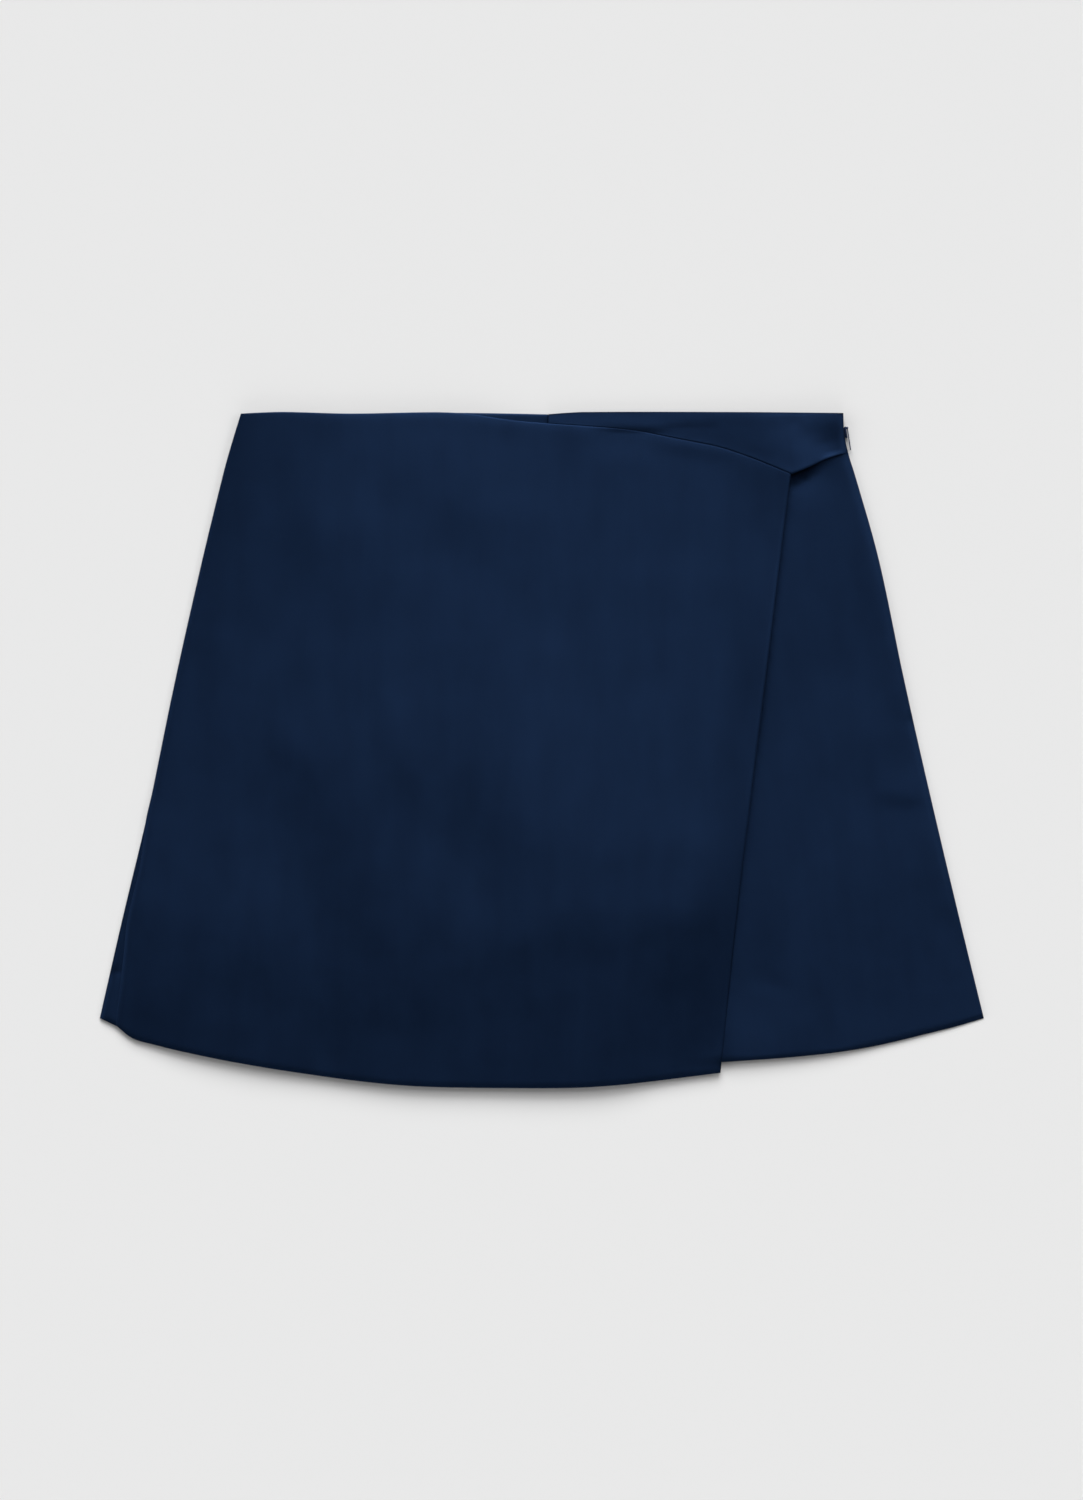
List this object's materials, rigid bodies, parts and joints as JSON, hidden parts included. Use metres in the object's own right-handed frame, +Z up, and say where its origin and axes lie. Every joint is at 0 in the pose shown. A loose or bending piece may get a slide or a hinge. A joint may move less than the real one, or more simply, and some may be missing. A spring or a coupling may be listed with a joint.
{
  "type": "wrap skort laid flat",
  "caption": "Plain crepe wrap skort laid flat: A-line shorts under a front wrap panel with a curved hem, shaped top band gathered into the side seam, invisible side zip.",
  "frame": {"origin": "centre of the bounding box at its bottom, on the surface the garment lies on", "axes": "+X to the wearer's left side, along the hem's width; +Y to the waist; +Z up out of the front of the garment"},
  "size_m": [0.5392, 0.4123, 0.0112],
  "materials": {
    "crepe_front": "matte woven crepe",
    "crepe_back": "matte woven crepe",
    "crepe_wrap": "matte woven crepe",
    "crepe_band": "matte woven crepe",
    "zip_tape": "woven polyester tape",
    "zip_metal": "satin lacquer"
  },
  "bodies": {
    "garment": {"back_leg_left": "crepe_back", "back_leg_right": "crepe_back", "front_leg_left": "crepe_front", "front_leg_right": "crepe_front", "wrap_panel": "crepe_wrap", "wrap_band": "crepe_band", "zip_tape": "zip_tape", "zip_slider": "zip_metal"},
    "zip_pull": {"zip_pull": "zip_metal"}
  },
  "joints": [
    {"name": "pull_swing", "type": "hinge", "parent": "garment", "child": "zip_pull", "pos_m": [0.18647, 0.19642, 0.0029], "axis": [0, 0, 1], "range_deg": [0, 165]}
  ]
}
